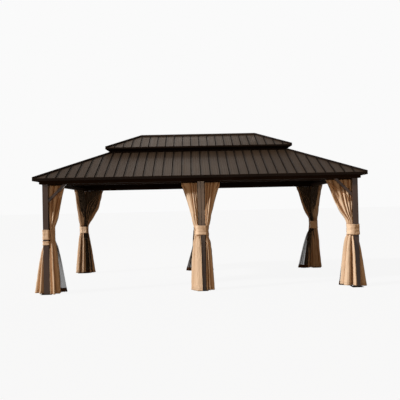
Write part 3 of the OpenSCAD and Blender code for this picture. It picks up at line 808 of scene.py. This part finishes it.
# Each corner as the photograph shows it: reach on the long rail, lines at waist and hem, folds, nets
CORNERS = {
    "front_left": {
        "mirror": (-1, -1), "seed": 11, "reach": 0.279, "bow": 0.05, "neck": 0.0, "flare": 0.20,
        "hem_up": 0.0, "net": 0.23, "net_hem": (0.02, 0.27), "net_end": -0.13, "waist": TIED_BESIDE,
        "folds": ([0.17, 0.33, 0.52, 0.75], [0.14, 0.34, 0.52, 0.75], 22),
        "end_folds": (8, [0.13, 0.30, 0.52, 0.75], 22),
        "hem": [(-0.030, 0.110), (-0.095, 0.145), (-0.160, 0.030), (-0.090, -0.045), (0.025, -0.035)],
        "end_hem": [(0.055, 0.128), (-0.045, 0.268), (-0.200, 0.120), (-0.160, 0.000), (-0.080, -0.030)],
    },
    "front_right": {
        "mirror": (1, -1), "seed": 22, "reach": 0.458, "bow": 0.08, "neck": 0.0, "flare": 0.20,
        "hem_up": 0.030, "net": 0.38, "net_hem": (0.02, 0.235), "net_end": -0.13, "waist": TIED_IN,
        "folds": ([0.07, 0.17, 0.24, 0.37, 0.52, 0.75], [0.17, 0.50, 0.75], 22),
        "end_folds": (8, 5, 22),
        "hem": [(0.050, 0.140), (-0.095, 0.160), (-0.215, 0.050), (-0.150, -0.045), (0.000, -0.040)],
        "end_hem": [(0.055, 0.128), (-0.045, 0.262), (-0.200, 0.120), (-0.160, 0.000), (-0.080, -0.030)],
    },
    "back_left": {
        "mirror": (-1, 1), "seed": 33, "reach": 0.489, "bow": 0.16, "neck": -0.08, "flare": 0.12,
        "hem_up": 0.0, "net": 0.43, "net_hem": (-0.03, 0.20), "net_end": -0.04, "waist": TIED_IN,
        "folds": (9, 8, 22),
        "end_folds": (8, 5, 22),
        "hem": [(0.040, 0.125), (-0.120, 0.125), (-0.225, 0.030), (-0.150, -0.070), (-0.010, -0.060)],
        "end_hem": [(-0.020, 0.120), (-0.070, 0.160), (-0.190, 0.090), (-0.160, 0.010), (-0.080, -0.010)],
    },
    "back_right": {
        "mirror": (1, 1), "seed": 44, "reach": 0.409, "bow": 0.05, "neck": -0.03, "flare": 0.10,
        "hem_up": 0.0, "net": 0.35, "net_hem": (0.12, 0.40), "net_end": -0.04, "waist": TIED_IN,
        "folds": (9, 8, 22),
        "end_folds": (8, 5, 22),
        "hem": [(0.040, 0.125), (-0.120, 0.125), (-0.225, 0.030), (-0.140, -0.070), (0.000, -0.060)],
        "end_hem": [(-0.020, 0.085), (-0.070, 0.100), (-0.190, 0.090), (-0.160, 0.010), (-0.080, -0.010)],
    },
}

# Where cloth starts along its rail from the post, and how far it swells below the rail
LONG_START, LONG_BULGE = -0.020, 0.024
END_START, END_BULGE = 0.040, 0.046
NET_START, END_NET_START = 0.065, 0.085


def corner_cloth(name, corner, cloth, net):
    """Two curtains and two nets of a corner, one of each on the long and on the short rail."""
    mirror, seed, bow = corner["mirror"], corner["seed"], corner["bow"]
    node = f"{name}_curtains"
    stations = side_curtain(
        corner, corner["reach"], LONG_START, corner["waist"], corner["hem"], corner["hem_up"], LONG_TRACK,
        LONG_BULGE,
    )
    hang_curtain(
        f"{name}_long_curtain", node, LONG_FLAT, stations, mirror, CORNER_POST, corner["folds"],
        seed, cloth,
    )
    stations = side_curtain(
        corner, END_REACH, END_START, END_TIED, corner["end_hem"], 0.0, END_TRACK, END_BULGE,
    )
    hang_curtain(
        f"{name}_end_curtain", node, END_FLAT, turned(stations), mirror, CORNER_POST,
        corner["end_folds"], seed + 1, cloth,
    )
    near, far = corner["net_hem"]
    wide = far - near
    hem = [
        (-near, -0.03), (-near - 0.4 * wide, -0.10), (-near - 0.7 * wide, -0.11), (-far, corner["net_end"]),
    ]
    stations = side_net(corner["net"], NET_START, hem, bow)
    hang_net(f"{name}_long_net", stations, mirror, CORNER_POST, seed, net)
    stations = turned(side_net(END_NET_REACH, END_NET_START, NET_END_HEM, bow))
    hang_net(f"{name}_end_net", stations, mirror, CORNER_POST, seed + 1, net)


# The middle posts: side of the gazebo, reach on the rail and of the net's hem, flare below the tieback
MIDDLES = {
    "front_middle": {"depth_sign": -1, "reach": 0.294, "net_hem": 0.12, "flare": 0.28, "seed": 55},
    "back_middle": {"depth_sign": 1, "reach": 0.278, "net_hem": 0.260, "flare": 0.10, "seed": 66},
}
MIDDLE_FOLDS = {
    "left": ([0.07, 0.14, 0.22, 0.52, 0.75], [-0.25, 0.52, 0.75], 22),
    "right": ([0.10, 0.20, 0.30, 0.52, 0.75], [0.16, 0.28, 0.52, 0.75], 22),
}
MIDDLE_NET_SHORT = 0.04


def middle_cloth(name, middle, cloth, net):
    """A curtain and a net on each side of a middle post; the left curtain laps over the post's face."""
    half, y, face = MIDDLE_HALF, INNER_Y, MIDDLE_HIGH.y
    neck = [
        (half + 0.008, y + 0.080), (half + 0.040, y + 0.108), (half + 0.076, y + 0.055),
        (half + 0.060, y + 0.010), (half + 0.020, y + 0.000),
    ]
    waists = {
        "left": [
            (half - 0.040, face + 0.020), (half + 0.010, face + 0.020), (half + 0.056, y + 0.060),
            (half + 0.048, y + 0.010), (half + 0.015, y + 0.000),
        ],
        "right": [
            (half + 0.012, y + 0.075), (half + 0.036, y + 0.088), (half + 0.056, y + 0.050),
            (half + 0.046, y + 0.010), (half + 0.015, y + 0.000),
        ],
    }
    hems = {
        "left": [
            (0.000, y + 0.175), (0.105, y + 0.125), (0.212, y + 0.040),
            (0.130, y - 0.050), (0.040, y - 0.060),
        ],
        "right": [
            (0.050, y + 0.125), (0.135, y + 0.110), (0.212, y + 0.030),
            (0.140, y - 0.050), (0.030, y - 0.050),
        ],
    }
    for k, (side, side_sign) in enumerate([("left", -1), ("right", 1)]):
        mirror, seed = (side_sign, middle["depth_sign"]), middle["seed"] + k
        stations = middle_curtain(middle["reach"], neck, waists[side], hems[side], middle["flare"])
        hang_curtain(
            f"{name}_{side}_curtain", f"{name}_curtains", LONG_FLAT, stations, mirror, MIDDLE_POST,
            MIDDLE_FOLDS[side], seed, cloth,
        )
        stations = middle_net(middle["reach"] - MIDDLE_NET_SHORT, middle["net_hem"])
        hang_net(f"{name}_{side}_net", stations, mirror, MIDDLE_POST, seed, net)


# Tieback bands
BAND_GRID = (16, 160)
BAND_THICKNESS = 0.003
BAND_SOFTENING = 11
BAND_CREASE, BAND_RIPPLE = 0.0045, 0.0015
BAND_BELLY, BAND_SLACK = 0.003, 0.006
LOWER_BAND_FROM, LOWER_BAND_TO = 0.086, 0.016


def soft_loop(corners):
    """Evenly spaced plan points around a polygon with softened corners, and the length around it."""
    ring = np.array(corners + corners[:1])
    travel = np.concatenate([[0], np.cumsum(np.linalg.norm(np.diff(ring, axis=0), axis=1))])
    at = np.linspace(0, travel[-1], BAND_GRID[1], endpoint=False)
    even = np.stack([np.interp(at, travel, ring[:, 0]), np.interp(at, travel, ring[:, 1])], axis=-1)
    spread = range(-(BAND_SOFTENING // 2), BAND_SOFTENING // 2 + 1)
    return sum(np.roll(even, k, axis=0) for k in spread) / BAND_SOFTENING, travel[-1]


def tieback(name, corners, low, high, mirror, seed, cloth):
    """Soft band around a post and its bundles, creased along its length, with slack edges."""
    rng = np.random.default_rng(seed)
    rows, columns = BAND_GRID
    plan, length = soft_loop(corners)
    ahead = np.roll(plan, -1, axis=0) - np.roll(plan, 1, axis=0)
    outward = np.stack([ahead[:, 1], -ahead[:, 0]], axis=-1)
    outward /= np.linalg.norm(outward, axis=-1, keepdims=True)
    share = np.linspace(0, 1, rows)[:, None]
    crease = BAND_CREASE * smooth_noise(rng, BAND_GRID, (7, 8))
    crease = crease + BAND_RIPPLE * smooth_noise(rng, BAND_GRID, (8, 40))
    belly = BAND_BELLY * np.cos(2 * math.pi * share)
    slack = BAND_SLACK * smooth_noise(rng, (columns, columns), (12, 1))[:, [0, -1]].T
    points = plan[None] + outward[None] * (crease + belly)[..., None]
    height = low + (high - low) * share + slack[0] * (1 - share) + slack[1] * share
    solid = np.concatenate([points * np.array(mirror), height[..., None]], axis=-1)
    around = np.linspace(0, length, columns)[None]
    flat = np.stack(np.broadcast_arrays(around, share * (high - low)), axis=-1)
    if mirror[0] * mirror[1] < 0:
        solid, flat = solid[:, ::-1], flat[:, ::-1]
    piece = grid_mesh(name, solid, flat, closed=True)
    piece.data.materials.append(cloth)
    thicken(piece, BAND_THICKNESS)
    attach(piece, "root")
    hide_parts("tiebacks")


def add_tiebacks(cloth):
    """A band at each post, its edges given from those of the tiebacks, and a second one at the front left."""
    right, front = OUTER_X - INNER_X, OUTER_Y - INNER_Y
    round_post = off_corner([
        (-0.010, front + 0.010), (-0.010, 0.010), (-0.045, -0.020), (-0.045, -0.095),
        (right + 0.010, -0.095), (right + 0.010, front + 0.010),
    ])
    round_bundle = off_corner([
        (-0.112, 0.050), (-0.060, -0.095), (right + 0.018, -0.095), (right + 0.016, front + 0.004),
        (-0.005, front + 0.038), (-0.070, front + 0.024),
    ])
    round_back = off_corner([
        (-0.088, front), (-0.088, -0.098), (0.050, -0.098), (right + 0.008, 0.020),
        (right + 0.008, front + 0.008), (-0.020, front + 0.008),
    ])
    y, face = INNER_Y, MIDDLE_HIGH.y
    round_middle = [
        (-0.106, face - 0.04), (-0.104, y - 0.05), (0.112, y - 0.05), (0.114, face - 0.04),
        (0.092, face + 0.026), (0.0, face + 0.040), (-0.072, face + 0.034), (-0.102, face + 0.004),
    ]
    for name, post, loop, low, high, mirror, seed in [
        ("tieback_front_left", "front_left_post", round_post, 0.003, 0.016, (-1, -1), 71),
        ("tieback_front_right", "front_right_post", round_bundle, -0.024, -0.004, (1, -1), 72),
        ("tieback_back_left", "back_left_post", round_back, -0.015, -0.040, (-1, 1), 73),
        ("tieback_back_right", "back_right_post", round_back, -0.020, -0.022, (1, 1), 74),
        ("tieback_front_middle", "front_middle_post", round_middle, 0.036, 0.028, (1, -1), 75),
        ("tieback_back_middle", "back_middle_post", round_middle, 0.0, 0.0, (1, 1), 76),
    ]:
        tieback(name, loop, TIE_LOW + low, TIE_HIGH + high, mirror, seed, cloth)
    low, high = TIE_LOW - LOWER_BAND_FROM, TIE_LOW - LOWER_BAND_TO
    tieback("tieback_front_left_lower", round_post, low, high, (-1, -1), 77, cloth)


def add_cloth():
    curtain = woven_cloth("curtain_cloth", CURTAIN_TAN, DROP)
    band = woven_cloth("band_cloth", BAND_TAN, DROP)
    net = net_cloth("net_mesh", DROP)
    for name, corner in CORNERS.items():
        corner_cloth(name, corner, curtain, net)
    for name, middle in MIDDLES.items():
        middle_cloth(name, middle, curtain, net)
    add_tiebacks(band)


SCENE.view_settings.view_transform = "Standard"
add_camera()
add_world()
add_floor()
add_lights()
finish_metal()
add_cloth()

bpy.context.view_layer.update()
